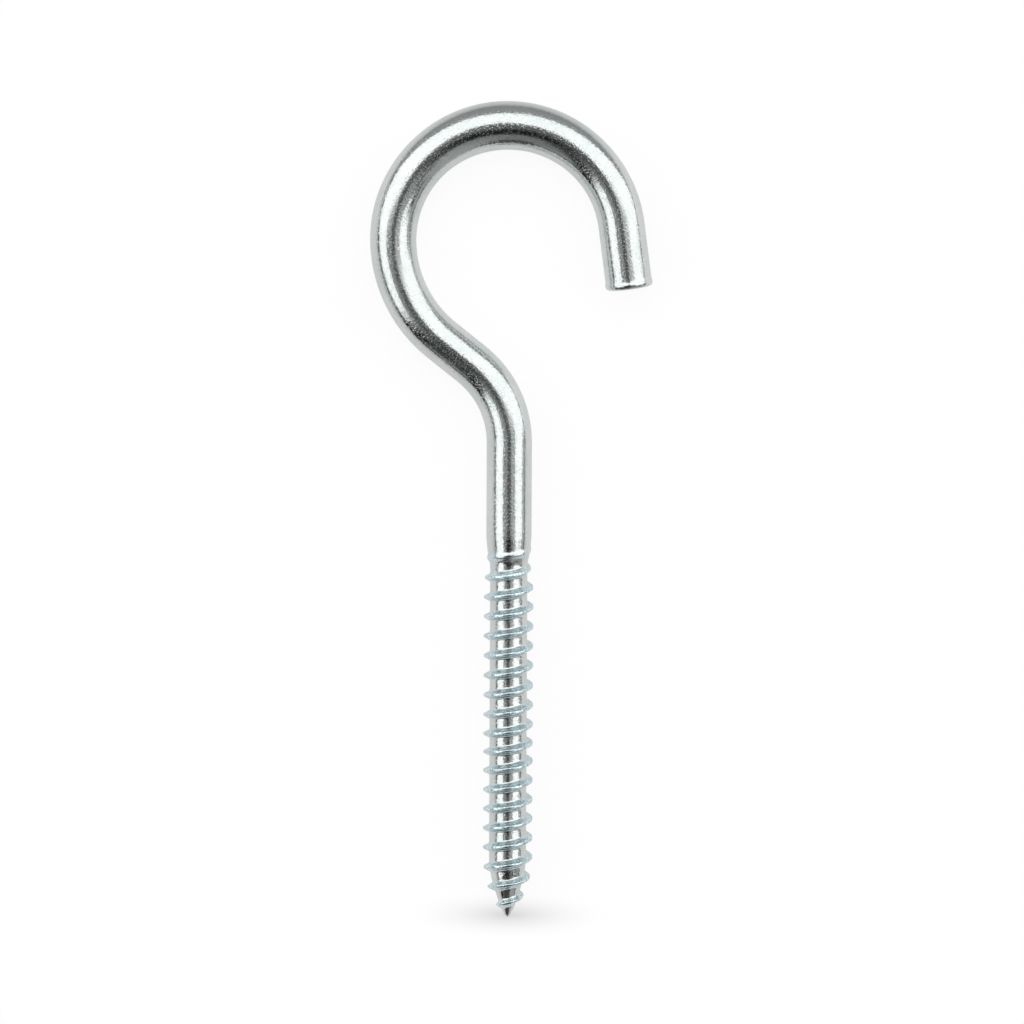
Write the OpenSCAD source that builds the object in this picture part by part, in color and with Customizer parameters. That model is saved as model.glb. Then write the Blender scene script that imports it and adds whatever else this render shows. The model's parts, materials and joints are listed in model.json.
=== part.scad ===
// Screw hook, bent from one length of round steel wire.
//
// The lower end of the wire is rolled to a wood-screw thread with a gimlet point. The
// upper end is bent to an open bow that ends in a short straight arm.
//
// The hook lies flat, as it comes to rest. Its bends lie in the XY plane, the shank
// runs along Y with the point towards -Y, and the mouth of the bow opens towards +X.
// The origin is under the middle of the hook, on the surface that it lies on.
//
// All sizes are in millimetres and all angles in degrees.

/* [Wire] */
// Diameter of the wire
wire_d = 5.8; // [4:0.1:8]
// Radius of the rounded edge round the cut end
end_round = 0.4; // [0.1:0.1:1]

/* [Bow] */
// Inside diameter of the bow
bow_inner_d = 23.2; // [18:0.2:40]
// Distance of the middle of the bow from the shank's line, towards the neck's side
bow_offset = 0.3; // [0:0.1:2]
// Length of the straight arm at the free end
arm_len = 8.2; // [3:0.2:20]
// Angle at which the arm splays outwards
arm_splay = 7.5; // [0:0.5:20]

/* [Neck] */
// Length of the plain shank, from the thread to the first bend
shank_len = 14.9; // [6:0.1:60]
// Angle at which the neck leans away from the shank's line
neck_lean = 51.4; // [35:0.2:60]
// Centreline radius of the bend between the shank and the neck
neck_bend_r = 12.8; // [9:0.2:16]
// Centreline radius of the bend between the neck and the bow
heel_bend_r = 16.4; // [10:0.2:19]

/* [Thread] */
// Length of the thread, point included
thread_len = 46.4; // [25:0.2:120]
// Distance from one ridge to the next
pitch = 2.5; // [2:0.1:4]
// Height of the ridge above the core
ridge_h = 0.8; // [0.4:0.05:1.1]
// Height of the crest above the surface of the plain wire
crest_rise = 0.3; // [0:0.05:0.6]
// Width of the ridge where it meets the core
ridge_foot_w = 1.1; // [0.8:0.05:1.6]
// Turn about the shank's axis at which the thread starts
start_angle = 230; // [0:2:358]

/* [Taper and point] */
// Length of the plain taper above the thread
taper_len = 2.8; // [1:0.2:5]
// Amount by which that taper narrows the wire, across its diameter
taper_drop = 0.6; // [0.1:0.1:1]
// Length over which the first ridges rise to their full height
runout_len = 3.6; // [2:0.2:8]
// Length over which the core and the ridge taper to the point
point_len = 6.4; // [4:0.2:10]
// Length of the smooth nib past the last ridge
nib_len = 1.2; // [0.4:0.1:2]
// Diameter of the nib where the last ridge ends
nib_d = 1.6; // [0.7:0.1:2]
// Diameter of the blunt end of the nib
tip_d = 0.4; // [0.2:0.1:0.6]

/* [Fineness] */
// Facets round one turn of the thread
turn_facets = 32; // [24:2:36]

/* [Hidden] */
$fn = 96;

steel = [0.76, 0.79, 0.80];

wire_r = wire_d / 2;
crest_r = wire_r + crest_rise;
core_r = crest_r - ridge_h;
bow_r = bow_inner_d / 2 + wire_r;

// Centreline of the bends, with the top of the thread at [0, 0] and the shank along +Y.
// The straight neck takes up what the two bends leave, so the bow sits over the shank.
bends_reach = (neck_bend_r + heel_bend_r) * (1 - cos(neck_lean));
neck_len = max(0.4, (bow_r + bow_offset - bends_reach) / sin(neck_lean));
neck_centre = [-neck_bend_r, shank_len];
neck_start = neck_centre + neck_bend_r * [cos(neck_lean), sin(neck_lean)];
neck_end = neck_start + neck_len * [-sin(neck_lean), cos(neck_lean)];
heel_centre = neck_end + heel_bend_r * [cos(neck_lean), sin(neck_lean)];
bow_centre = heel_centre + [bow_r - heel_bend_r, 0];
arm_start = bow_centre + bow_r * [cos(arm_splay), sin(arm_splay)];
arm_dir = [sin(arm_splay), -cos(arm_splay)];

// Outline of the whole hook, from which the origin is set.
x_min = bow_centre.x - bow_r - wire_r;
x_max = (arm_start + (arm_len - end_round) * arm_dir).x
    + (wire_r - end_round) * cos(arm_splay) + end_round;
y_min = -thread_len;
y_max = bow_centre.y + bow_r + wire_r;

// Bending draws the wire out by this much at its surface, and each straight length
// reaches this far over the bends that it joins.
bend_draw = 0.01;
bend_lap = 0.2;

// The thread's faceted body lies this far inside the wire that it joins, and a plug of
// this length reaches into that wire.
seam = 0.02;
plug_len = 0.6;

// One facet further round the helix is one step further down. The ribbed part runs
// from the top of the taper to the nib, in whole steps.
step = pitch / turn_facets;
ribbed_steps = round((taper_len + thread_len - nib_len) / step);
ribbed_len = ribbed_steps * step;

// Rows of the ridge: steps from its middle, and share of its height.
crest_steps = 2;
foot_steps = max(5, round(ridge_foot_w / 2 / step));
ridge_rows = [
    [-foot_steps, 0],
    [2 - foot_steps, 0.3],
    [-crest_steps, 1],
    [crest_steps, 1],
    [foot_steps - 2, 0.3],
    [foot_steps, 0]
];
turn_rows = len(ridge_rows);
// One turn more than the length at each end, whose rows close up on the end ring.
grid_rows = turn_rows * (ceil(ribbed_steps / turn_facets) + 2);

// Plain rings past the ribbed part: radius and height of the plug and of the nib.
nib_height = -thread_len;
ring_sizes = [
    [wire_r - seam, taper_len + plug_len],
    [wire_r - seam, taper_len],
    [nib_d / 2, taper_len - ribbed_len],
    [nib_d * 0.31 + tip_d * 0.25, nib_height + nib_len * 0.6],
    [nib_d * 0.14 + tip_d * 0.45, nib_height + nib_len * 0.25],
    [tip_d / 2, nib_height]
];
ring_first = grid_rows * turn_facets;

// Radius of the core at a depth below the top of the taper.
function core_at(depth) = lookup(depth, [
    [0, wire_r - seam],
    [taper_len, wire_r - taper_drop / 2],
    [taper_len + runout_len / 2, core_r],
    [ribbed_len - point_len, core_r],
    [ribbed_len - point_len * 0.7, core_r * 0.86 + nib_d * 0.07],
    [ribbed_len - point_len * 0.43, core_r * 0.56 + nib_d * 0.22],
    [ribbed_len, nib_d / 2]
]);

// Height of the ridge above the core at that depth.
function ridge_at(depth) = lookup(depth, [
    [taper_len * 0.4, 0],
    [taper_len * 0.75, ridge_h * 0.21],
    [taper_len, ridge_h * 0.28],
    [taper_len + runout_len / 3, ridge_h * 0.55],
    [taper_len + runout_len * 0.7, ridge_h * 0.85],
    [taper_len + runout_len * 1.3, ridge_h],
    [ribbed_len - point_len * 0.47, ridge_h],
    [ribbed_len - point_len * 0.11, ridge_h * 0.69],
    [ribbed_len, 0]
]);

// Whole steps from the top of the taper to a point of the grid, before it is clamped.
function steps_at(row, facet) =
    (floor(row / turn_rows) - 1) * turn_facets + ridge_rows[row % turn_rows][0] + facet;

// Angle of a facet. It runs clockwise as the helix goes down, for a right-hand thread.
function angle_at(facet) = start_angle - 360 * facet / turn_facets;

function rim_point(radius, facet, height) =
    [radius * cos(angle_at(facet)), radius * sin(angle_at(facet)), height];

function grid_point(row, facet) =
    let (depth = min(max(steps_at(row, facet), 0), ribbed_steps) * step,
         share = ridge_rows[row % turn_rows][1])
    rim_point(core_at(depth) + share * ridge_at(depth), facet, taper_len - depth);

// Index of a point of the plain rings.
function ring_index(ring, facet) = ring_first + ring * turn_facets + facet % turn_facets;

// Index of a point of the grid. The row that follows a turn later carries on where a
// row ends, and points beyond an end of the ribbed part are those of its end ring.
function grid_index(row, facet) =
    steps_at(row, facet) <= 0 ? ring_index(1, facet)
    : steps_at(row, facet) >= ribbed_steps ? ring_index(2, facet)
    : facet < turn_facets ? row * turn_facets + facet
    : (row + turn_rows) * turn_facets + facet - turn_facets;

// Triangles of a patch with corners a and b above d and c. A closed-up one is left out.
function patch(a, b, c, d) = [
    for (face = [[a, c, b], [a, d, c]])
        if (face[0] != face[1] && face[1] != face[2] && face[2] != face[0]) face
];

function ring_patch(upper, lower, facet) =
    patch(ring_index(upper, facet), ring_index(upper, facet + 1),
          ring_index(lower, facet + 1), ring_index(lower, facet));

function grid_patch(row, facet) =
    patch(grid_index(row, facet), grid_index(row, facet + 1),
          grid_index(row + 1, facet + 1), grid_index(row + 1, facet));

// Threaded end with its taper and point, along Z, with the top of the thread at 0.
module threaded_end() {
    facets = [0 : turn_facets - 1];
    last_ring = len(ring_sizes) - 1;
    grid = [for (row = [0 : grid_rows - 1], facet = facets) grid_point(row, facet)];
    rings = [for (size = ring_sizes, facet = facets) rim_point(size[0], facet, size[1])];
    ribs = [for (row = [0 : grid_rows - 2], facet = facets) each grid_patch(row, facet)];
    plug = [for (facet = facets) each ring_patch(0, 1, facet)];
    nib = [for (ring = [2 : last_ring - 1], facet = facets) each ring_patch(ring, ring + 1, facet)];
    plug_cap = [for (facet = facets) ring_index(0, facet)];
    tip_cap = [for (facet = facets) ring_index(last_ring, turn_facets - 1 - facet)];
    polyhedron(
        points = concat(grid, rings),
        faces = concat(ribs, plug, nib, [plug_cap, tip_cap])
    );
}

// Straight length of wire from a point of the XY plane, at a heading from +X. It laps
// over what it joins by one length at its start and another at its end.
module straight_wire(start, heading, length, laps = [bend_lap, bend_lap]) {
    translate([start.x, start.y, 0])
        rotate([0, 0, heading])
            rotate([0, 90, 0])
                translate([0, 0, -laps[0]])
                    cylinder(r = wire_r, h = length + laps[0] + laps[1]);
}

// Bend of the wire in the XY plane about a centre, between two angles from +X.
module bent_wire(centre, bend_r, from_angle, to_angle) {
    translate([centre.x, centre.y, 0])
        rotate([0, 0, from_angle])
            rotate_extrude(angle = to_angle - from_angle)
                translate([bend_r, 0])
                    circle(r = wire_r - bend_draw);
}

// Straight arm with a rounded edge at its cut end.
module arm() {
    corner = [for (turn = [0 : 22.5 : 90])
        [wire_r + end_round * (cos(turn) - 1), arm_len + end_round * (sin(turn) - 1)]];
    translate([arm_start.x, arm_start.y, 0])
        rotate([0, 0, arm_splay - 90])
            rotate([0, 90, 0])
                rotate_extrude()
                    polygon(concat([[0, -bend_lap], [wire_r, -bend_lap]], corner,
                        [[0, arm_len]]));
}

// The hook in its own plane, with the top of the thread at the origin.
module bent_hook() {
    shank_start = [0, taper_len + plug_len / 2];
    rotate([-90, 0, 0])
        threaded_end();
    straight_wire(shank_start, 90, shank_len - shank_start.y, laps = [0, bend_lap]);
    bent_wire(neck_centre, neck_bend_r, 0, neck_lean);
    straight_wire(neck_start, 90 + neck_lean, neck_len);
    bent_wire(heel_centre, heel_bend_r, 180, 180 + neck_lean);
    straight_wire(bow_centre - [bow_r, 0], 90, 0);
    bent_wire(bow_centre, bow_r, arm_splay, 180);
    arm();
}

module screw_hook() {
    color(steel)
        translate([-(x_min + x_max) / 2, -(y_min + y_max) / 2, crest_r])
            bent_hook();
}

screw_hook();
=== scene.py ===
"""Looks of a zinc-plated screw hook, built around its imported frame.

The hook is one length of steel wire, so one mesh stands for it. The threaded end is a helical band
swept round the shank and drawn in to the core between its ridges. The plain wire is drawn on from
the band's top ring, bend after bend, to the rounded edge of the cut end. Its finish is bright zinc
over drawn steel, and it lies on a pale floor.

Lengths are in millimetres until a finished mesh is placed, and in metres from then on.
"""

import json
import logging
import math
from collections.abc import Sequence
from dataclasses import dataclass, field
from enum import Enum

import bmesh
import bpy
from mathutils import Matrix, Vector


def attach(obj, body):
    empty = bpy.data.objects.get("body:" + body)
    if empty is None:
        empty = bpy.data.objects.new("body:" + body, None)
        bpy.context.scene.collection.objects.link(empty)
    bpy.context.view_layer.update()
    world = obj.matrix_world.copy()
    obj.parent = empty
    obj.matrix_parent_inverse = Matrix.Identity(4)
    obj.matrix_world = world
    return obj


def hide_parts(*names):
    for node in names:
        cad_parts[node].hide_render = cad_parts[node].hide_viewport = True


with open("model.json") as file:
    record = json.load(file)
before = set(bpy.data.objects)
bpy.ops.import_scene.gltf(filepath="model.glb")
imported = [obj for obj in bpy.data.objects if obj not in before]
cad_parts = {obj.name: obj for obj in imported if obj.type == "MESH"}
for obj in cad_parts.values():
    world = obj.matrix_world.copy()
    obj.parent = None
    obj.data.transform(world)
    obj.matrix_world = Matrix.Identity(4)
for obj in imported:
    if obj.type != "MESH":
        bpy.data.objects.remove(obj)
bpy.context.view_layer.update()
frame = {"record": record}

log = logging.getLogger("screw_hook")

MM = 0.001
UNBENT = "unbent_wire"
RIDGE = "ridge_share"
WHITE = (1.0, 1.0, 1.0, 1.0)

WIRE_R = 2.875
CORE_R = 2.365
RIDGE_H = 0.795


class LightPathKind(Enum):
    """Kinds of ray that see a stage surface as the pale background."""

    CAMERA = "Is Camera Ray"
    GLOSSY = "Is Glossy Ray"
    TRANSMISSION = "Is Transmission Ray"


@dataclass(frozen=True)
class Stations:
    """A smooth curve through given values, which never swings past them.

    Attributes:
        points: Pairs of a position and its value, in order of position.
    """

    points: tuple[tuple[float, float], ...]

    def slopes(self) -> list[float]:
        """Slope of the curve at each station, flat where the values turn.

        Returns:
            The slopes, in the order of the stations.
        """
        steps = [
            (right[1] - left[1]) / (right[0] - left[0])
            for left, right in zip(self.points, self.points[1:])
        ]
        inner = [
            2.0 * before * after / (before + after) if before * after > 0.0 else 0.0
            for before, after in zip(steps, steps[1:])
        ]
        return [steps[0], *inner, steps[-1]]

    def at(self, position: float) -> float:
        """Value of the curve at a position.

        Args:
            position: Where to read the curve. Past an end, the end's value holds.

        Returns:
            The value there.
        """
        if position <= self.points[0][0]:
            return self.points[0][1]
        slopes = self.slopes()
        pairs = zip(self.points, self.points[1:], slopes, slopes[1:])
        for (x0, y0), (x1, y1), slope0, slope1 in pairs:
            if position <= x1:
                span = x1 - x0
                t = (position - x0) / span
                return (
                    y0 * (1 + 2 * t) * (1 - t) ** 2
                    + y1 * t * t * (3 - 2 * t)
                    + span * t * (1 - t) * (slope0 * (1 - t) - slope1 * t)
                )
        return self.points[-1][1]


def soft_max(a: float, b: float, blend: float) -> float:
    """Larger of two values, with a rounded corner where they meet.

    Args:
        a: First value.
        b: Second value.
        blend: Difference of the values at which the rounding starts.

    Returns:
        The rounded maximum.
    """
    near = max(blend - abs(a - b), 0.0) / blend
    return max(a, b) + near * near * blend / 4.0


def about(pivot: Vector, turn: Matrix) -> Matrix:
    """Transform that keeps a point in its place.

    Args:
        pivot: The point.
        turn: The transform, as it would be about the origin.

    Returns:
        The transform about the point.
    """
    return Matrix.Translation(pivot) @ turn @ Matrix.Translation(-pivot)


def object_of(
    name: str, bm: bmesh.types.BMesh, material: bpy.types.Material
) -> bpy.types.Object:
    """Turns a finished mesh into an object of the scene.

    Args:
        name: Name of the object.
        bm: The mesh, which is freed.
        material: Its material.

    Returns:
        The object.
    """
    mesh = bpy.data.meshes.new(name)
    bm.to_mesh(mesh)
    bm.free()
    mesh.materials.append(material)
    made = bpy.data.objects.new(name, mesh)
    bpy.context.scene.collection.objects.link(made)
    return made


def open_edges(items: Sequence[object]) -> list[bmesh.types.BMEdge]:
    """Edges among a mesh operator's results that have a face on one side only.

    Args:
        items: The operator's results.

    Returns:
        The edges.
    """
    edges = [item for item in items if isinstance(item, bmesh.types.BMEdge)]
    return [edge for edge in edges if edge.is_boundary]


def verts_of(items: Sequence[object]) -> list[bmesh.types.BMVert]:
    """Vertices among a mesh operator's results.

    Args:
        items: The operator's results.

    Returns:
        The vertices.
    """
    return [item for item in items if isinstance(item, bmesh.types.BMVert)]


class Wiring:
    """Adds and joins the nodes of one node tree.

    Args:
        tree: The tree, which is emptied first.
    """

    def __init__(self, tree: bpy.types.NodeTree) -> None:
        self.tree = tree
        tree.nodes.clear()

    def add(self, kind: str, **settings: object) -> bpy.types.Node:
        """Adds a node.

        Args:
            kind: Node type without its ShaderNode prefix.
            **settings: Properties of the node, by name.

        Returns:
            The new node.
        """
        node = self.tree.nodes.new(kind if kind.startswith("Node") else f"ShaderNode{kind}")
        for name, value in settings.items():
            setattr(node, name, value)
        return node

    def give(self, socket: bpy.types.NodeSocket, value: object) -> None:
        """Sets or links one input.

        Args:
            socket: The input.
            value: A value or a socket, or None to leave the input as it is.
        """
        if isinstance(value, bpy.types.NodeSocket):
            self.tree.links.new(value, socket)
        elif value is not None:
            socket.default_value = value

    def feed(self, node: bpy.types.Node, **values: object) -> bpy.types.Node:
        """Sets or links inputs of a node.

        Args:
            node: The node that takes the values.
            **values: A value or a socket for each input, named with _ for a space.

        Returns:
            The same node.
        """
        for name, value in values.items():
            self.give(node.inputs[name.replace("_", " ")], value)
        return node

    def noise(
        self, vector: bpy.types.NodeSocket, scale: float, detail: float, roughness: float = 0.55
    ) -> bpy.types.NodeSocket:
        """Adds a noise texture.

        Args:
            vector: Socket with the coordinates.
            scale: Blotches for each unit of those coordinates.
            detail: Octaves of finer noise.
            roughness: Strength of the finer octaves.

        Returns:
            Socket with the noise, from 0 to 1.
        """
        node = self.add("TexNoise", noise_dimensions="3D", normalize=True)
        self.feed(node, Vector=vector, Scale=scale, Detail=detail, Roughness=roughness)
        return node.outputs["Fac"]

    def stretched(
        self, vector: bpy.types.NodeSocket, scale: tuple[float, float, float]
    ) -> bpy.types.NodeSocket:
        """Coordinates scaled differently along each axis.

        Args:
            vector: Socket with the coordinates.
            scale: Factor for each axis.

        Returns:
            Socket with the scaled coordinates.
        """
        node = self.add("Mapping", vector_type="POINT")
        self.feed(node, Vector=vector, Scale=scale)
        return node.outputs["Vector"]

    def maths(
        self, operation: str, first: object, second: object = None, third: object = None
    ) -> bpy.types.NodeSocket:
        """Adds a Math node.

        Args:
            operation: What it does, such as MULTIPLY.
            first: First value or socket.
            second: Second value or socket, where the operation has one.
            third: Third value or socket, where the operation has one.

        Returns:
            Socket with the result.
        """
        node = self.add("Math", operation=operation)
        for socket, value in zip(node.inputs, (first, second, third)):
            self.give(socket, value)
        return node.outputs["Value"]

    def vector_maths(
        self, operation: str, first: object, second: object = None, result: str = "Vector"
    ) -> bpy.types.NodeSocket:
        """Adds a Vector Math node.

        Args:
            operation: What it does, such as SUBTRACT.
            first: First vector or socket.
            second: Second vector or socket, where the operation has one.
            result: Output to take, Vector or Value.

        Returns:
            Socket with the result.
        """
        node = self.add("VectorMath", operation=operation)
        for socket, value in zip(node.inputs, (first, second)):
            self.give(socket, value)
        return node.outputs[result]

    def remap(
        self,
        value: bpy.types.NodeSocket,
        low: float,
        high: float,
        to_low: float = 0.0,
        to_high: float = 1.0,
    ) -> bpy.types.NodeSocket:
        """Maps a range of values onto another, and clamps it there.

        Args:
            value: Socket with the value.
            low: Value that becomes to_low.
            high: Value that becomes to_high.
            to_low: Start of the new range.
            to_high: End of the new range.

        Returns:
            Socket with the mapped value.
        """
        node = self.add("MapRange", clamp=True)
        self.feed(
            node, Value=value, From_Min=low, From_Max=high, To_Min=to_low, To_Max=to_high
        )
        return node.outputs["Result"]

    def dot(self, vector: bpy.types.NodeSocket, axis: Sequence[float]) -> bpy.types.NodeSocket:
        """Length of a vector along a fixed axis.

        Args:
            vector: Socket with the vector.
            axis: The axis.

        Returns:
            Socket with the dot product.
        """
        return self.vector_maths("DOT_PRODUCT", vector, tuple(axis), "Value")

    def part(self, vector: bpy.types.NodeSocket, axis: str) -> bpy.types.NodeSocket:
        """One part of a vector.

        Args:
            vector: Socket with the vector.
            axis: X, Y or Z.

        Returns:
            Socket with that part.
        """
        return self.feed(self.add("SeparateXYZ"), Vector=vector).outputs[axis]

    def level_mix(self, factor: object, first: object, second: object) -> bpy.types.NodeSocket:
        """Mixes two numbers.

        Args:
            factor: Share of the second number, as a value or a socket.
            first: First number or socket.
            second: Second number or socket.

        Returns:
            Socket with the mixed number.
        """
        node = self.add("Mix", data_type="FLOAT")
        for number, value in ((0, factor), (2, first), (3, second)):
            self.give(node.inputs[number], value)
        return node.outputs[0]

    def blend(
        self, factor: object, first: object, second: object, mode: str = "MIX"
    ) -> bpy.types.NodeSocket:
        """Mixes two colours.

        Args:
            factor: Share of the second colour, as a value or a socket.
            first: First colour or socket.
            second: Second colour or socket.
            mode: Blend mode.

        Returns:
            Socket with the mixed colour.
        """
        node = self.add("Mix", data_type="RGBA", blend_type=mode)
        for number, value in ((0, factor), (6, first), (7, second)):
            self.give(node.inputs[number], value)
        return node.outputs[2]


@dataclass(frozen=True)
class BrightZinc:
    """Bright zinc plating on drawn steel wire.

    Attributes:
        name: Name of the material.
        cool: Colour of the plating where its film is thick.
        pale: Colour of the plating where its film is thin.
        rolled: Colour of the film on the rolled ridges, which is bluer.
        gloss: Lowest and highest roughness.
        rolled_dulling: Roughness that the rolled ridges have besides.
        rolled_share: Shares of a ridge's height between which its film turns to the rolled one.
        grain_depth: Depth of the surface grain, in metres.
        grain_scale: Grains to the millimetre.
        grain_stretch: Factor of that scale for each axis, with the wire along the second.
        grain_range: Levels of the noise between which a grain rises.
        crystal_scale: Crystals of the plating to the millimetre.
        crystal_range: Levels of the noise between which a crystal rises.
        crystal_height: Height of a crystal as a share of a grain's.
        line_scale: Drawing lines to the millimetre, for each axis.
        line_height: Height of a drawing line as a share of a grain's.
        cloud_scale: Clouds in the film to the millimetre.
        cloud_range: Levels of the noise between which the film thins out.
        mottle_scale: Spots in the film to the millimetre.
        wire_mottle: Levels of the noise for the spots, and the brightness at each, on plain wire.
        rolled_mottle: The same on the rolled ridges.
    """

    name: str = "bright_zinc"
    cool: tuple[float, float, float, float] = (0.605, 0.65, 0.645, 1.0)
    pale: tuple[float, float, float, float] = (0.67, 0.69, 0.68, 1.0)
    rolled: tuple[float, float, float, float] = (0.71, 0.84, 0.875, 1.0)
    gloss: tuple[float, float] = (0.07, 0.11)
    rolled_dulling: float = 0.12
    rolled_share: tuple[float, float] = (0.02, 0.3)
    grain_depth: float = 0.0000095
    grain_scale: float = 5.2
    grain_stretch: tuple[float, float, float] = (1.0, 0.8, 1.0)
    grain_range: tuple[float, float] = (0.53, 0.74)
    crystal_scale: float = 5.0
    crystal_range: tuple[float, float] = (0.6, 0.75)
    crystal_height: float = 0.2
    line_scale: tuple[float, float, float] = (5.0, 0.15, 5.0)
    line_height: float = 0.1
    cloud_scale: float = 0.35
    cloud_range: tuple[float, float] = (0.35, 0.65)
    mottle_scale: float = 4.6
    wire_mottle: tuple[float, float, float, float] = (0.32, 0.68, 0.94, 1.03)
    rolled_mottle: tuple[float, float, float, float] = (0.38, 0.62, 0.66, 1.06)

    def material(self) -> bpy.types.Material:
        """Makes the material.

        Returns:
            The material, which reads the wire's unbent place and the ridges' share.
        """
        made = bpy.data.materials.new(self.name)
        made.use_nodes = True
        wiring = Wiring(made.node_tree)
        unbent = wiring.add("Attribute", attribute_name=UNBENT).outputs["Vector"]
        ridge = wiring.add("Attribute", attribute_name=RIDGE).outputs["Fac"]
        rolled = wiring.remap(ridge, *self.rolled_share)
        clouds = wiring.noise(unbent, self.cloud_scale, detail=3.0)

        roughness = wiring.remap(clouds, *self.cloud_range, *self.gloss)
        roughness = wiring.maths("MULTIPLY_ADD", rolled, self.rolled_dulling, roughness)
        shader = wiring.add("BsdfPrincipled")
        shader.inputs["Metallic"].default_value = 1.0
        wiring.feed(
            shader,
            Base_Color=self._film(wiring, unbent, rolled, clouds),
            Roughness=roughness,
            Normal=self._relief(wiring, unbent),
        )
        wiring.feed(wiring.add("OutputMaterial"), Surface=shader.outputs["BSDF"])
        return made

    def _relief(self, wiring: Wiring, unbent: bpy.types.NodeSocket) -> bpy.types.NodeSocket:
        """Adds the grain, the crystals and the drawing lines.

        Args:
            wiring: Node tree of the material.
            unbent: Socket with the place along and about the unbent wire.

        Returns:
            Socket with the normal of the surface.
        """
        stretched = wiring.stretched(unbent, self.grain_stretch)
        grain = wiring.noise(stretched, self.grain_scale, detail=1.0, roughness=0.5)
        crystals = wiring.noise(unbent, self.crystal_scale, detail=0.0)
        stretched = wiring.stretched(unbent, self.line_scale)
        lines = wiring.noise(stretched, scale=1.0, detail=1.0, roughness=0.5)
        height = wiring.remap(grain, *self.grain_range)
        crystals = wiring.remap(crystals, *self.crystal_range)
        height = wiring.maths("MULTIPLY_ADD", crystals, self.crystal_height, height)
        height = wiring.maths("MULTIPLY_ADD", lines, self.line_height, height)
        bump = wiring.add("Bump")
        wiring.feed(bump, Strength=1.0, Distance=self.grain_depth, Height=height)
        return bump.outputs["Normal"]

    def _film(
        self,
        wiring: Wiring,
        unbent: bpy.types.NodeSocket,
        rolled: bpy.types.NodeSocket,
        clouds: bpy.types.NodeSocket,
    ) -> bpy.types.NodeSocket:
        """Colours the plating, with its clouds and its spots.

        Args:
            wiring: Node tree of the material.
            unbent: Socket with the place along and about the unbent wire.
            rolled: Socket with the share of the rolled film.
            clouds: Socket with the noise of the clouds.

        Returns:
            Socket with the colour.
        """
        colour = wiring.blend(wiring.remap(clouds, *self.cloud_range), self.cool, self.pale)
        colour = wiring.blend(rolled, colour, self.rolled)
        mottle = wiring.noise(unbent, self.mottle_scale, detail=1.0, roughness=0.6)
        plain_spots = wiring.remap(mottle, *self.wire_mottle)
        rolled_spots = wiring.remap(mottle, *self.rolled_mottle)
        spots = wiring.level_mix(rolled, plain_spots, rolled_spots)
        return wiring.blend(1.0, colour, spots, "MULTIPLY")


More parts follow.
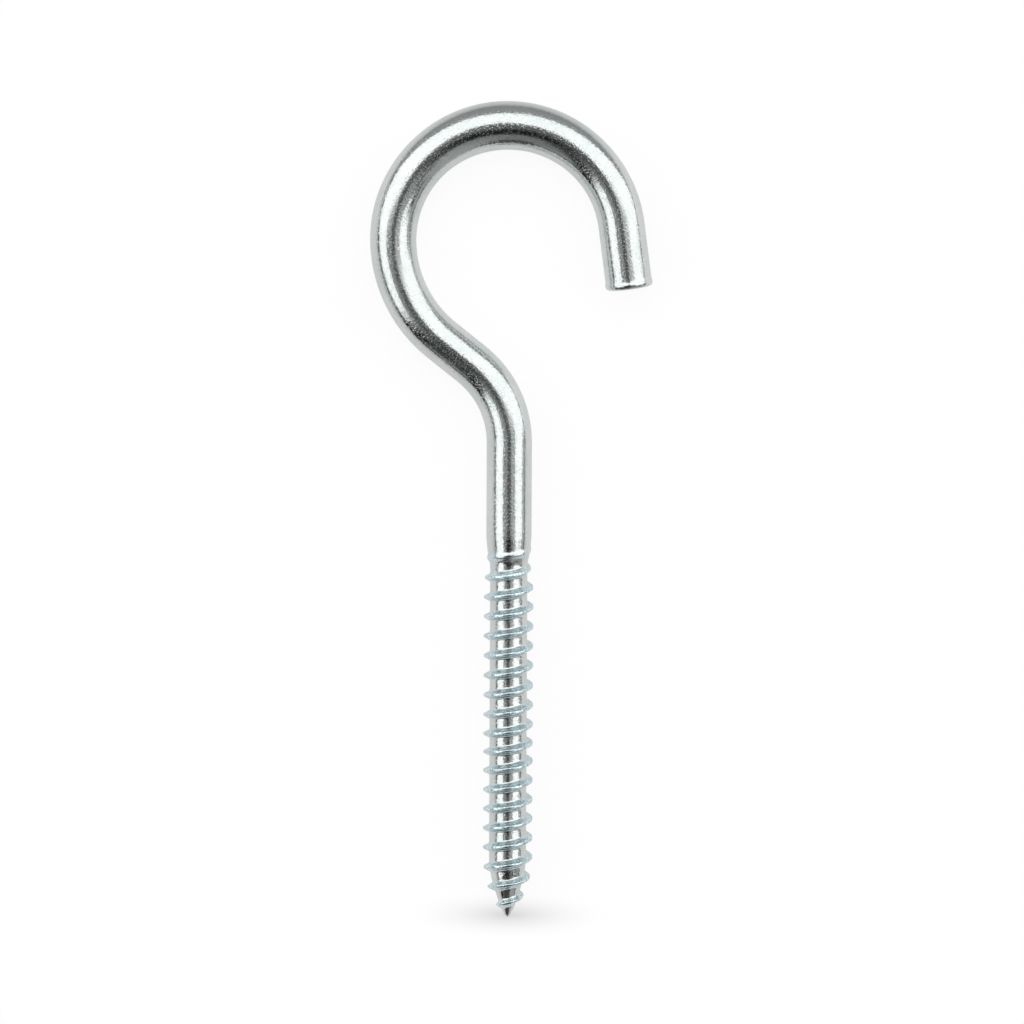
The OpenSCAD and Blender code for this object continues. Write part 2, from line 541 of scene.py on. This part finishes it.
@dataclass(frozen=True)
class RolledThread:
    """The threaded end of the wire.

    Depths count down from the top of its plain taper.

    Attributes:
        wire_r: Radius of the plain wire.
        pitch: Distance from one ridge to the next.
        taper: Length of the plain taper above the thread.
        length: Length of the thread, point included.
        start: Angle about the shank at which the thread starts, in degrees.
        crest_half: Half the width of the crest.
        foot_half: Half the width of the ridge at its foot.
        flank_round: Share of the ridge's height over which its crest and its foot are rounded.
        steps: Facets round one turn.
        rows: Rows of faces from one ridge to the next.
        row_crowd: Power that draws the rows together at the crest, where 0 leaves them even.
        tip_round: Length of the rounded end of the point.
        tip_rings: Rings of that end, each with its share of the length and its size as a share of
            the last ring's.
        full_ridge: Height of ridge that has a ridge share of 1.
        core: Radius of the core at each depth.
        ridge: Height of the ridge at each depth.
        drift: How far up the ridges lie from an even pitch at each depth.
    """

    wire_r: float = WIRE_R
    pitch: float = 2.5
    taper: float = 2.8
    length: float = 46.4
    start: float = 230.0
    crest_half: float = 0.17
    foot_half: float = 0.57
    flank_round: float = 0.16
    steps: int = 96
    rows: int = 20
    row_crowd: float = 1.3
    tip_round: float = 0.12
    tip_rings: tuple[tuple[float, float], ...] = ((0.5, 0.86), (0.35, 0.7), (0.15, 0.5))
    full_ridge: float = 0.83
    core: Stations = Stations(
        (
            (0.0, WIRE_R),
            (1.9, 2.7),
            (2.7, 2.53),
            (3.4, 2.4),
            (4.6, CORE_R),
            (41.4, CORE_R),
            (43.6, 2.16),
            (45.2, 1.76),
            (46.8, 1.25),
            (47.9, 0.88),
            (48.4, 0.64),
            (48.85, 0.42),
            (49.2, 0.2),
        )
    )
    ridge: Stations = Stations(
        (
            (1.0, 0.0),
            (2.1, 0.17),
            (2.7, 0.22),
            (3.9, 0.44),
            (5.2, 0.67),
            (7.6, RIDGE_H),
            (45.2, RIDGE_H),
            (47.5, 0.55),
            (48.2, 0.0),
        )
    )
    drift: Stations = Stations(
        (
            (0.0, 0.0),
            (3.5, 0.12),
            (13.0, 0.06),
            (24.0, -0.09),
            (30.0, 0.2),
            (41.0, 0.2),
            (44.0, 0.05),
            (49.0, 0.0),
        )
    )

    def share(self, off: float) -> float:
        """Share of the ridge's height at a distance from its middle.

        Args:
            off: Distance along the shank from the middle of the ridge.

        Returns:
            1 at the crest and 0 in the root.
        """
        flank = 1.0 - (abs(off) - self.crest_half) / (self.foot_half - self.crest_half)
        return soft_max(-soft_max(-flank, -1.0, self.flank_round), 0.0, self.flank_round)

    def roll(self, bm: bmesh.types.BMesh) -> list[bmesh.types.BMEdge]:
        """Makes the threaded end, along Y and with the top of the thread at the origin.

        Args:
            bm: The empty mesh that takes it, with a layer for the ridge share.

        Returns:
            Edges of the open ring at the top of the taper.
        """
        self._sweep_band(bm)
        self._shape_band(bm)
        rims = open_edges(bm.edges)
        top = [edge for edge in rims if edge.verts[0].co.y > 0.0]
        tip = [edge for edge in rims if edge.verts[0].co.y < 0.0]
        self._close_tip(bm, tip)
        return top

    def _sweep_band(self, bm: bmesh.types.BMesh) -> None:
        """Sweeps a line one pitch long round the shank, a pitch down at each turn.

        Args:
            bm: The empty mesh that takes the band.
        """
        turns = math.ceil((self.taper + self.length) / self.pitch) + 2
        angle = math.radians(-self.start)
        out = Vector((math.cos(angle) * self.wire_r, 0.0, math.sin(angle) * self.wire_r))
        middle = self.taper + self.pitch
        ends = [middle - self.pitch / 2.0, middle + self.pitch / 2.0]
        edge = bm.edges.new([bm.verts.new((out.x, height, out.z)) for height in ends])
        bmesh.ops.subdivide_edges(bm, edges=[edge], cuts=self.rows - 1)
        for vert in bm.verts:
            part = (vert.co.y - middle) / self.pitch
            crowding = 0.5 + 0.5 * abs(2.0 * part) ** self.row_crowd
            vert.co.y = middle + self.pitch * part * crowding
        bmesh.ops.spin(
            bm,
            geom=[*bm.verts, *bm.edges],
            cent=(0.0, 0.0, 0.0),
            axis=(0.0, -1.0, 0.0),
            dvec=(0.0, -self.pitch / self.steps, 0.0),
            angle=math.tau,
            steps=self.steps,
            use_merge=False,
            use_duplicate=False,
        )
        turn = [*bm.verts, *bm.edges, *bm.faces]
        for number in range(1, turns):
            copy = bmesh.ops.duplicate(bm, geom=turn)["geom"]
            down = (0.0, -self.pitch * number, 0.0)
            bmesh.ops.translate(bm, vec=down, verts=verts_of(copy))
        bmesh.ops.remove_doubles(bm, verts=bm.verts, dist=0.01)

    def _shape_band(self, bm: bmesh.types.BMesh) -> None:
        """Squares the band off at both ends, and draws it in to the core between the ridges.

        Args:
            bm: Mesh that holds the band.
        """
        ridge_share = bm.verts.layers.float[RIDGE]
        step = math.tau / self.steps
        start = math.radians(-self.start)
        bottom = self.taper + self.length - self.tip_round
        for vert in bm.verts:
            turned = round((math.atan2(vert.co.z, vert.co.x) - start) / step)
            depth = min(max(self.taper - vert.co.y, 0.0), bottom)
            angle = start + turned * step
            turn = depth / self.pitch - turned / self.steps
            share = self.share((turn - round(turn)) * self.pitch)
            depth -= self.drift.at(depth)
            height = self.ridge.at(depth) * share
            radius = self.core.at(depth) + height
            vert.co = (radius * math.cos(angle), self.taper - depth, radius * math.sin(angle))
            vert[ridge_share] = height / self.full_ridge
        bmesh.ops.remove_doubles(bm, verts=bm.verts, dist=0.001)

    def _close_tip(self, bm: bmesh.types.BMesh, rim: list[bmesh.types.BMEdge]) -> None:
        """Rounds the point over and closes it.

        Args:
            bm: Mesh that holds the band.
            rim: Edges of its open lower end.
        """
        for reach, shrink in self.tip_rings:
            grown = bmesh.ops.extrude_edge_only(bm, edges=rim)["geom"]
            verts = verts_of(grown)
            bmesh.ops.scale(bm, vec=(shrink, 1.0, shrink), verts=verts)
            bmesh.ops.translate(bm, vec=(0.0, -reach * self.tip_round, 0.0), verts=verts)
            rim = open_edges(grown)
        bmesh.ops.contextual_create(bm, geom=rim)


@dataclass
class BentWire:
    """The plain wire above the thread, bent to a neck, a bow and an arm.

    Attributes:
        wire_r: Radius of the wire.
        shank: Height of the first bend above the top of the thread.
        lean: Angle at which the neck leans, in degrees.
        neck_bend: Centreline radius of the bend from the shank to the neck.
        heel_bend: Centreline radius of the bend from the neck to the bow.
        bow: Centreline radius of the bow.
        bow_offset: Distance of the bow's middle from the shank's line.
        arm: Length of the straight arm.
        splay: Angle at which the arm splays outwards, in degrees.
        end_round: Radius of the edge of the cut end.
        round_steps: Rings of that edge.
        lip_length: Length of wire before that edge which the cut has drawn out of shape.
        lip: Rings of that length, as a distance from its end and a depth below the plain wire.
        face: Rings of the sheared face, as a distance in from its edge.
        shank_rings: Rings of the shank.
        neck_rings: Rings of the neck.
        arm_rings: Rings of the arm.
        arc_step: Largest turn between two rings of a bend, in degrees.
        swell: Width of the wire across the hook, as a share of its diameter, by how far the bow has
            turned.
        ring: Edges of the ring that the wire has reached.
        centre: Middle of that ring.
        heading: Direction of the wire there, in degrees from +X.
    """

    wire_r: float = WIRE_R
    shank: float = 14.9
    lean: float = 51.4
    neck_bend: float = 12.8
    heel_bend: float = 16.4
    bow: float = 14.5
    bow_offset: float = 0.3
    arm: float = 8.0
    splay: float = 7.5
    end_round: float = 0.4
    round_steps: int = 6
    lip_length: float = 1.0
    lip: tuple[tuple[float, float], ...] = (
        (-0.7, 0.0),
        (-0.5, -0.02),
        (-0.35, -0.06),
        (-0.2, -0.095),
        (-0.1, -0.09),
        (0.0, -0.06),
    )
    face: tuple[float, ...] = (0.1, 0.5, 1.1, 1.8, 2.2)
    shank_rings: int = 8
    neck_rings: int = 3
    arm_rings: int = 5
    arc_step: float = 3.0
    swell: Stations = Stations(
        (
            (-51.4, 1.0),
            (0.0, 1.018),
            (40.0, 1.035),
            (82.0, 1.07),
            (115.0, 1.055),
            (150.0, 1.022),
            (172.0, 1.02),
        )
    )
    ring: list[bmesh.types.BMEdge] = field(default_factory=list)
    centre: Vector = field(default_factory=Vector)
    heading: float = 90.0

    def draw(self, bm: bmesh.types.BMesh, ring: list[bmesh.types.BMEdge], start: float) -> None:
        """Draws the wire on from a ring round the shank to its cut end.

        Args:
            bm: Mesh that holds the ring.
            ring: Edges of the ring, square to the shank.
            start: Height of the ring above the top of the thread.
        """
        self.ring = ring
        self.centre = Vector((0.0, start, 0.0))
        lean = math.radians(self.lean)
        reach = (self.neck_bend + self.heel_bend) * (1.0 - math.cos(lean))
        neck = (self.bow + self.bow_offset - reach) / math.sin(lean)
        self._straight(bm, self.shank - start, self.shank_rings)
        self._bend(bm, self.neck_bend, self.lean)
        self._straight(bm, neck, self.neck_rings)
        self._bend(bm, self.heel_bend, -self.lean, -self.lean)
        self._bend(bm, self.bow, self.splay - 180.0, 0.0)
        self._straight(bm, self.arm - self.end_round - self.lip_length, self.arm_rings)
        self._cut_end(bm)

    def _grow(
        self, bm: bmesh.types.BMesh, move: Matrix, length: float, shrink: float = 1.0
    ) -> None:
        """Extrudes the ring and moves the new one.

        Args:
            bm: Mesh that holds the ring.
            move: Transform of the new ring.
            length: Length of wire that this adds.
            shrink: Size of the new ring as a share of the last.
        """
        unbent = bm.verts.layers.float_vector[UNBENT]
        grown = bmesh.ops.extrude_edge_only(bm, edges=self.ring)["geom"]
        verts = verts_of(grown)
        bmesh.ops.transform(bm, matrix=move, verts=verts)
        for vert in verts:
            place = vert[unbent]
            vert[unbent] = Vector((place.x * shrink, place.y + length, place.z * shrink))
        self.ring = open_edges(grown)
        self.centre = move @ self.centre

    def _direction(self) -> Vector:
        """Direction of the wire where it ends so far.

        Returns:
            Unit vector along it.
        """
        angle = math.radians(self.heading)
        return Vector((math.cos(angle), math.sin(angle), 0.0))

    def _straight(self, bm: bmesh.types.BMesh, length: float, rings: int) -> None:
        """Adds a straight length.

        Args:
            bm: Mesh that holds the ring.
            length: Length to add.
            rings: Rings that it takes.
        """
        step = length / rings
        for _ in range(rings):
            self._grow(bm, Matrix.Translation(self._direction() * step), step)

    def _bend(
        self, bm: bmesh.types.BMesh, radius: float, turn: float, turned: float | None = None
    ) -> None:
        """Adds a bend, to the left where the turn is positive.

        Args:
            bm: Mesh that holds the ring.
            radius: Centreline radius of the bend.
            turn: Angle of the bend, in degrees.
            turned: How far the bow has turned where the bend starts, or None where the wire
                stays round.
        """
        side = math.copysign(90.0, turn)
        away = math.radians(self.heading + side)
        pivot = self.centre + radius * Vector((math.cos(away), math.sin(away), 0.0))
        rings = math.ceil(abs(turn) / self.arc_step)
        step = math.radians(turn / rings)
        move = about(pivot, Matrix.Rotation(step, 4, "Z"))
        for number in range(rings):
            swollen = move
            if turned is not None:
                before = self.swell.at(turned + abs(turn) * number / rings)
                after = self.swell.at(turned + abs(turn) * (number + 1) / rings)
                along = self._direction()
                across = Vector((along.y, -along.x, 0.0))
                swollen = move @ about(self.centre, Matrix.Scale(after / before, 4, across))
            self._grow(bm, swollen, radius * abs(step))
            self.heading += turn / rings

    def _cut_end(self, bm: bmesh.types.BMesh) -> None:
        """Rounds the edge of the cut end over and closes the sheared face.

        Args:
            bm: Mesh that holds the ring.
        """
        flare = self.lip[-1][1]
        rounding = [
            (self.end_round * math.sin(turn), self.end_round * (1.0 - math.cos(turn)) + flare)
            for turn in (
                math.radians(90.0 * part / self.round_steps)
                for part in range(1, self.round_steps + 1)
            )
        ]
        face = [(self.end_round, self.end_round + inset) for inset in self.face]
        reached, radius = -self.lip_length, self.wire_r
        for reach, inset in [*self.lip, *rounding, *face]:
            shrink = (self.wire_r - inset) / radius
            move = Matrix.Translation(self._direction() * (reach - reached))
            move = move @ about(self.centre, Matrix.Scale(shrink, 4))
            self._grow(bm, move, reach - reached, shrink)
            reached, radius = reach, self.wire_r - inset
        bmesh.ops.contextual_create(bm, geom=self.ring)


@dataclass
class ScrewHook:
    """The hook, one piece of wire from the point to the cut end.

    Attributes:
        name: Name of the piece.
        node: CAD node that it stands for.
        mount: Mount at the top of the thread, which sets its place.
        thread: The threaded end.
        wire: The plain wire above it.
        finish: Its plating.
    """

    name: str = "zinc_screw_hook"
    node: str = "screw_hook"
    mount: str = "screw_thread"
    thread: RolledThread = field(default_factory=RolledThread)
    wire: BentWire = field(default_factory=BentWire)
    finish: BrightZinc = field(default_factory=BrightZinc)

    def place(self) -> Vector:
        """Place of the top of the thread, in metres.

        Returns:
            Its place in the shared frame.
        """
        mounts = {mount["name"]: mount for mount in frame["record"]["mounts"]}
        return Vector(mounts[self.mount]["pos_m"])

    def build(self) -> bpy.types.Object:
        """Makes, places and dresses the hook.

        Returns:
            The finished piece.
        """
        bm = bmesh.new()
        bm.verts.layers.float.new(RIDGE)
        unbent = bm.verts.layers.float_vector.new(UNBENT)
        top = self.thread.roll(bm)
        for vert in bm.verts:
            vert[unbent] = vert.co
        self.wire.draw(bm, top, self.thread.taper)
        placed = Matrix.Translation(self.place()) @ Matrix.Scale(MM, 4)
        bmesh.ops.transform(bm, matrix=placed, verts=bm.verts)
        bmesh.ops.recalc_face_normals(bm, faces=bm.faces)
        for face in bm.faces:
            face.smooth = True
        piece = object_of(self.name, bm, self.finish.material())
        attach(piece, "root")
        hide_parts(self.node)
        return piece


def heading_of(azimuth: float, elevation: float) -> Vector:
    """Unit vector of a direction.

    Args:
        azimuth: Its azimuth, counterclockwise from +X, in degrees.
        elevation: Its height above the horizon, in degrees.

    Returns:
        The vector.
    """
    turn, rise = math.radians(azimuth), math.radians(elevation)
    flat = math.cos(rise)
    return Vector((math.cos(turn) * flat, math.sin(turn) * flat, math.sin(rise)))


@dataclass(frozen=True)
class SoftBox:
    """A soft light from one side of the sky, bounded by four straight edges.

    Attributes:
        azimuth: Direction that its face is square to, counterclockwise from +X, in degrees.
        elevation: Height of that direction above the horizon, in degrees.
        sides: Angles from that direction to its two upright edges, in degrees.
        ends: Angles from that direction to its lower and upper edge, in degrees.
        roll: Turn about that direction, in degrees.
        level: Brightness of its face, where 1 is white.
        edge: Width of its soft edge, as a tangent.
        nearest: Least share of a direction that counts as facing it, which keeps the light off
            the far side.
    """

    azimuth: float
    elevation: float
    sides: tuple[float, float]
    ends: tuple[float, float]
    roll: float
    level: float
    edge: float = 0.04
    nearest: float = 0.001

    def over(
        self, wiring: Wiring, way: bpy.types.NodeSocket, below: object
    ) -> bpy.types.NodeSocket:
        """Lays the light over what the sky already has.

        Args:
            wiring: Node tree of the sky.
            way: Socket with the direction of the sky.
            below: Brightness of the sky without the light, as a value or a socket.

        Returns:
            Socket with the brightness of the sky.
        """
        out = heading_of(self.azimuth, self.elevation)
        rolled = Matrix.Rotation(math.radians(self.roll), 3, "Z")
        facing = out.to_track_quat("Z", "Y").to_matrix() @ rolled
        depth = wiring.maths("MAXIMUM", wiring.dot(way, out), self.nearest)
        inside: object = 1.0
        for axis, angles in ((facing.col[0], self.sides), (facing.col[1], self.ends)):
            low, high = (math.tan(math.radians(angle)) for angle in angles)
            across = wiring.maths("DIVIDE", wiring.dot(way, axis), depth)
            off = wiring.maths("ABSOLUTE", wiring.maths("SUBTRACT", across, (low + high) / 2.0))
            half = (high - low) / 2.0
            part = wiring.remap(off, half + self.edge / 2.0, half - self.edge / 2.0)
            inside = wiring.maths("MULTIPLY", part, inside)
        return wiring.level_mix(inside, below, self.level)


@dataclass(frozen=True)
class SkyPatch:
    """A round patch of the sky with a brightness of its own.

    Attributes:
        azimuth: Direction of its middle, counterclockwise from +X, in degrees.
        elevation: Height of its middle above the horizon, in degrees.
        reach: Angle from its middle to its edge, in degrees.
        edge: Width of its soft edge, in degrees.
        level: Its brightness, where 1 is white.
    """

    azimuth: float
    elevation: float
    reach: float
    edge: float
    level: float

    def over(
        self, wiring: Wiring, way: bpy.types.NodeSocket, below: object
    ) -> bpy.types.NodeSocket:
        """Lays the patch over what the sky already has.

        Args:
            wiring: Node tree of the sky.
            way: Socket with the direction of the sky.
            below: Brightness of the sky without the patch, as a value or a socket.

        Returns:
            Socket with the brightness of the sky.
        """
        dot = wiring.dot(way, heading_of(self.azimuth, self.elevation))
        outer = math.cos(math.radians(self.reach + self.edge / 2.0))
        inner = math.cos(math.radians(self.reach - self.edge / 2.0))
        return wiring.level_mix(wiring.remap(dot, outer, inner), below, self.level)


@dataclass(frozen=True)
class Studio:
    """Pale floor, soft lights, dark flag and camera.

    Attributes:
        floor_r: Radius of the floor, in metres.
        paper_tint: Colour of the floor's paper.
        paper_roughness: Roughness of that paper.
        paper_level: Brightness of its plain white.
        glow: Share of the paper's look that is plain white for each kind of ray.
        fade: Places along Y between which the paper is painted darker in the hook's reflections
            only, in metres.
        fade_depth: Brightness that it loses there.
        fade_glow: Share of plain white that it gains there.
        shade_at: Middle of the faint painted shade under the point, which the paper's white carries
            rather than the hook casting it, in metres.
        shade_reach: Half of that shade's length and of its width, in metres.
        shade_depth: Share of the paper's white that the shade takes at its middle.
        shade_fall: Power at which the shade thins out.
        tilt: Angle of the camera from straight above the hook, in degrees.
        distance: Distance of the camera from the hook, in metres.
        roll: Turn of the camera about its own axis, in degrees.
        focal: Focal length, in millimetres.
        clip_start: Distance from which the camera sees things, in metres.
        aim: Point that the camera looks at, in metres.
        sky_heights: Sines of the two elevations between which the plain sky dims.
        sky_levels: Brightness of that sky below the first and above the second.
        patches: Soft lights and patches of the sky that differ from the rest, each over the last.
        lamp_way: Azimuth and elevation of the lamp that lights the floor, in degrees.
        lamp_distance: Distance of that lamp, in metres.
        lamp_size: Side of that lamp, in metres.
        lamp_level: Brightness of its face, where 1 is white.
        flag_at: Middle of the dark card beyond the point, in metres.
        flag_half: Half of that card's width and of its height, in metres.
        flag_level: Brightness of that card, where 1 is white.
    """

    floor_r: float = 1.3
    paper_tint: tuple[float, float, float, float] = (0.82, 0.82, 0.82, 1.0)
    paper_roughness: float = 0.3
    paper_level: float = 1.02
    glow: dict[LightPathKind, float] = field(
        default_factory=lambda: {
            LightPathKind.CAMERA: 0.9,
            LightPathKind.GLOSSY: 0.33,
            LightPathKind.TRANSMISSION: 0.9,
        }
    )
    fade: tuple[float, float] = (0.045, 0.068)
    fade_depth: float = 0.76
    fade_glow: float = 0.5
    shade_at: tuple[float, float, float] = (0.0, -0.0527, 0.0)
    shade_reach: tuple[float, float] = (0.0135, 0.0032)
    shade_depth: float = 0.33
    shade_fall: float = 2.0
    tilt: float = 8.0
    distance: float = 0.9045
    roll: float = 0.25
    focal: float = 250.0
    clip_start: float = 0.01
    aim: tuple[float, float, float] = (0.000243, 0.000088, 0.0032)
    sky_heights: tuple[float, float] = (0.04, 0.26)
    sky_levels: tuple[float, float] = (0.65, 0.42)
    patches: tuple[SkyPatch | SoftBox, ...] = (
        # The sides of the room, and the bright half beyond the bow.
        SkyPatch(258.0, 42.0, 20.0, 22.0, 0.23),
        SkyPatch(352.0, 66.0, 7.0, 9.0, 0.48),
        SkyPatch(90.0, 0.0, 90.0, 7.0, 1.5),
        # The soft boxes on the left and on the right.
        SoftBox(178.0, 44.0, (-40.0, 32.0), (-25.7, 10.0), 22.8, 1.5),
        SoftBox(10.0, 13.0, (-45.0, 40.0), (-3.0, 38.6), -29.0, 1.5),
        # The low sky round the floor, with a thin dark rim above it.
        SkyPatch(235.0, -81.6, 98.8, 2.0, 0.02),
        SkyPatch(235.0, -81.6, 93.8, 2.0, 0.7),
        SkyPatch(302.0, 14.0, 14.0, 8.0, 0.43),
        SkyPatch(90.0, -50.0, 79.5, 4.0, 0.38),
        # The dim ceiling overhead.
        SkyPatch(100.0, 84.5, 9.5, 4.0, 0.33),
        SkyPatch(90.0, 88.0, 7.0, 5.0, 0.12),
        SkyPatch(270.0, 83.0, 9.5, 5.0, 0.14),
        SkyPatch(205.0, 68.0, 7.0, 8.0, 0.32),
        # Two dark strips that come down from it on the near side, and a dim patch between them.
        SkyPatch(236.0, 50.0, 9.0, 9.0, 0.05),
        SkyPatch(229.0, 36.0, 7.0, 8.0, 0.0),
        SkyPatch(225.0, 20.0, 8.0, 8.0, 0.0),
        SkyPatch(265.0, 66.0, 12.0, 11.0, 0.0),
        SkyPatch(282.0, 65.0, 9.0, 9.0, 0.02),
        SkyPatch(300.0, 60.0, 6.0, 8.0, 0.05),
        SkyPatch(316.0, 47.0, 5.0, 7.0, 0.1),
        SkyPatch(329.0, 30.0, 7.5, 8.0, 0.1),
        SkyPatch(266.0, 30.0, 4.0, 7.0, 0.2),
        # A faint light between the ceiling and the box on the right.
        SkyPatch(345.0, 75.0, 4.5, 3.5, 0.6),
    )
    lamp_way: tuple[float, float] = (100.0, 62.0)
    lamp_distance: float = 0.8
    lamp_size: float = 0.5
    lamp_level: float = 1.0
    flag_at: tuple[float, float, float] = (-0.004, -0.105, 0.048)
    flag_half: tuple[float, float] = (0.028, 0.028)
    flag_level: float = 0.07

    def build(self) -> None:
        """Makes the floor, the flag, the lamp, the sky and the camera."""
        self._floor()
        self._flag()
        self._lamp()
        self._sky()
        self._camera()

    def _floor(self) -> None:
        """Makes the round floor."""
        bm = bmesh.new()
        bmesh.ops.create_circle(bm, cap_ends=True, segments=96, radius=self.floor_r)
        floor = object_of("pale_floor", bm, self._paper())

    def _flag(self) -> None:
        """Hangs a dark card beyond the point, which only the hook's reflections show."""
        upright = Matrix.Rotation(math.radians(90.0), 4, "X")
        sized = upright @ Matrix.Diagonal((*self.flag_half, 1.0, 1.0))
        hung = Matrix.Translation(self.flag_at) @ sized
        bm = bmesh.new()
        bmesh.ops.create_grid(bm, x_segments=1, y_segments=1, size=1.0, matrix=hung)
        flag = object_of("dark_flag", bm, self._cloth())
        flag.visible_camera = False
        flag.visible_diffuse = False
        flag.visible_transmission = False
        flag.visible_shadow = False

    def _cloth(self) -> bpy.types.Material:
        """Makes the flag's material: an even dark grey.

        Returns:
            The material.
        """
        made = bpy.data.materials.new("dark_cloth")
        made.use_nodes = True
        wiring = Wiring(made.node_tree)
        cloth = wiring.feed(wiring.add("Emission"), Color=WHITE, Strength=self.flag_level)
        wiring.feed(wiring.add("OutputMaterial"), Surface=cloth.outputs["Emission"])
        return made

    def _paper(self) -> bpy.types.Material:
        """Makes the floor's material: paper that shows as a plain white background, with a painted
        shade under the point.

        Returns:
            The material.
        """
        made = bpy.data.materials.new("pale_paper")
        made.use_nodes = True
        wiring = Wiring(made.node_tree)
        place = wiring.add("TexCoord").outputs["Object"]
        path = wiring.add("LightPath")
        mirrored = path.outputs[LightPathKind.GLOSSY.value]
        # Painted reflection: beyond the bow, the paper that the hook mirrors is darkened for glossy
        # rays only.
        beyond = wiring.remap(wiring.part(place, "Y"), *self.fade)

        share = wiring.maths(
            "MULTIPLY_ADD", beyond, self.fade_glow, self.glow[LightPathKind.GLOSSY]
        )
        plain: object = wiring.maths("MULTIPLY", mirrored, share)
        for kind in (LightPathKind.CAMERA, LightPathKind.TRANSMISSION):
            share = wiring.maths("MULTIPLY", path.outputs[kind.value], self.glow[kind])
            plain = wiring.maths("MAXIMUM", share, plain)

        fall = wiring.maths("MULTIPLY", beyond, self.fade_depth)
        fall = wiring.maths("MULTIPLY", mirrored, fall)
        white = wiring.maths("SUBTRACT", self.paper_level, fall)
        # Painted shade: the paper's white is darkened under the point, not shaded by the hook.
        white = wiring.maths("MULTIPLY", white, self._painted_shade(wiring, place))
        glow = wiring.feed(wiring.add("Emission"), Color=WHITE, Strength=white)
        matt = wiring.add("BsdfPrincipled")
        wiring.feed(matt, Base_Color=self.paper_tint, Roughness=self.paper_roughness)
        mix = wiring.add("MixShader")
        for number, value in enumerate((plain, matt.outputs["BSDF"], glow.outputs["Emission"])):
            wiring.give(mix.inputs[number], value)
        wiring.feed(wiring.add("OutputMaterial"), Surface=mix.outputs["Shader"])
        return made

    def _painted_shade(self, wiring: Wiring, place: bpy.types.NodeSocket) -> bpy.types.NodeSocket:
        """Paints the faint shade under the point into the paper's white, as a painted shadow rather
        than a cast one.

        Args:
            wiring: Node tree of the paper.
            place: Socket with the place on the floor.

        Returns:
            Socket with the share of the paper's white that the painted shade leaves.
        """
        off = wiring.vector_maths("SUBTRACT", place, self.shade_at)
        spread = wiring.vector_maths("DIVIDE", off, (*self.shade_reach, 1.0))
        length = wiring.vector_maths("LENGTH", spread, result="Value")
        near = wiring.maths("POWER", wiring.remap(length, 1.0, 0.0), self.shade_fall)
        return wiring.maths("MULTIPLY_ADD", near, -self.shade_depth, 1.0)

    def _lamp(self) -> None:
        """Adds a soft lamp over the floor, which the hook doesn't mirror."""
        lamp = bpy.data.lights.new("floor_softbox", "AREA")
        lamp.size = self.lamp_size
        lamp.energy = self.lamp_level * math.pi * self.lamp_size**2
        hung = bpy.data.objects.new("floor_softbox", lamp)
        out = heading_of(*self.lamp_way)
        hung.location = out * self.lamp_distance
        hung.rotation_euler = out.to_track_quat("Z", "Y").to_euler()
        hung.visible_camera = False
        hung.visible_glossy = False
        bpy.context.scene.collection.objects.link(hung)

    def _sky(self) -> None:
        """Sets the light round the hook, which the camera sees as plain white."""
        world = bpy.data.worlds.new("dim_room")
        world.use_nodes = True
        wiring = Wiring(world.node_tree)
        way = wiring.add("TexCoord").outputs["Generated"]
        level: object = wiring.remap(wiring.part(way, "Z"), *self.sky_heights, *self.sky_levels)
        for patch in self.patches:
            level = patch.over(wiring, way, level)
        path = wiring.add("LightPath")
        level = wiring.maths("MAXIMUM", level, path.outputs[LightPathKind.CAMERA.value])
        background = wiring.feed(wiring.add("Background"), Color=WHITE, Strength=level)
        wiring.feed(wiring.add("OutputWorld"), Surface=background.outputs["Background"])
        bpy.context.scene.world = world

    def _camera(self) -> None:
        """Adds the camera, above the hook and tilted towards the bow."""
        lens = bpy.data.cameras.new("camera")
        lens.lens = self.focal
        lens.clip_start = self.clip_start
        tilt = math.radians(self.tilt)
        out = Vector((0.0, math.sin(tilt), math.cos(tilt)))
        camera = bpy.data.objects.new("camera", lens)
        camera.location = Vector(self.aim) + out * self.distance
        turn = Matrix.Rotation(-tilt, 4, "X") @ Matrix.Rotation(math.radians(self.roll), 4, "Z")
        camera.rotation_euler = turn.to_euler()
        bpy.context.scene.collection.objects.link(camera)
        bpy.context.scene.camera = camera


def main() -> None:
    """Builds the hook and the studio, and reports each piece."""
    logging.basicConfig(level=logging.INFO, format="%(name)s: %(message)s")
    bpy.context.scene.view_settings.view_transform = "Standard"
    piece = ScrewHook().build()
    triangles = sum(len(face.vertices) - 2 for face in piece.data.polygons)
    log.info("%s: %d triangles", piece.name, triangles)
    Studio().build()


if __name__ == "__main__":
    main()
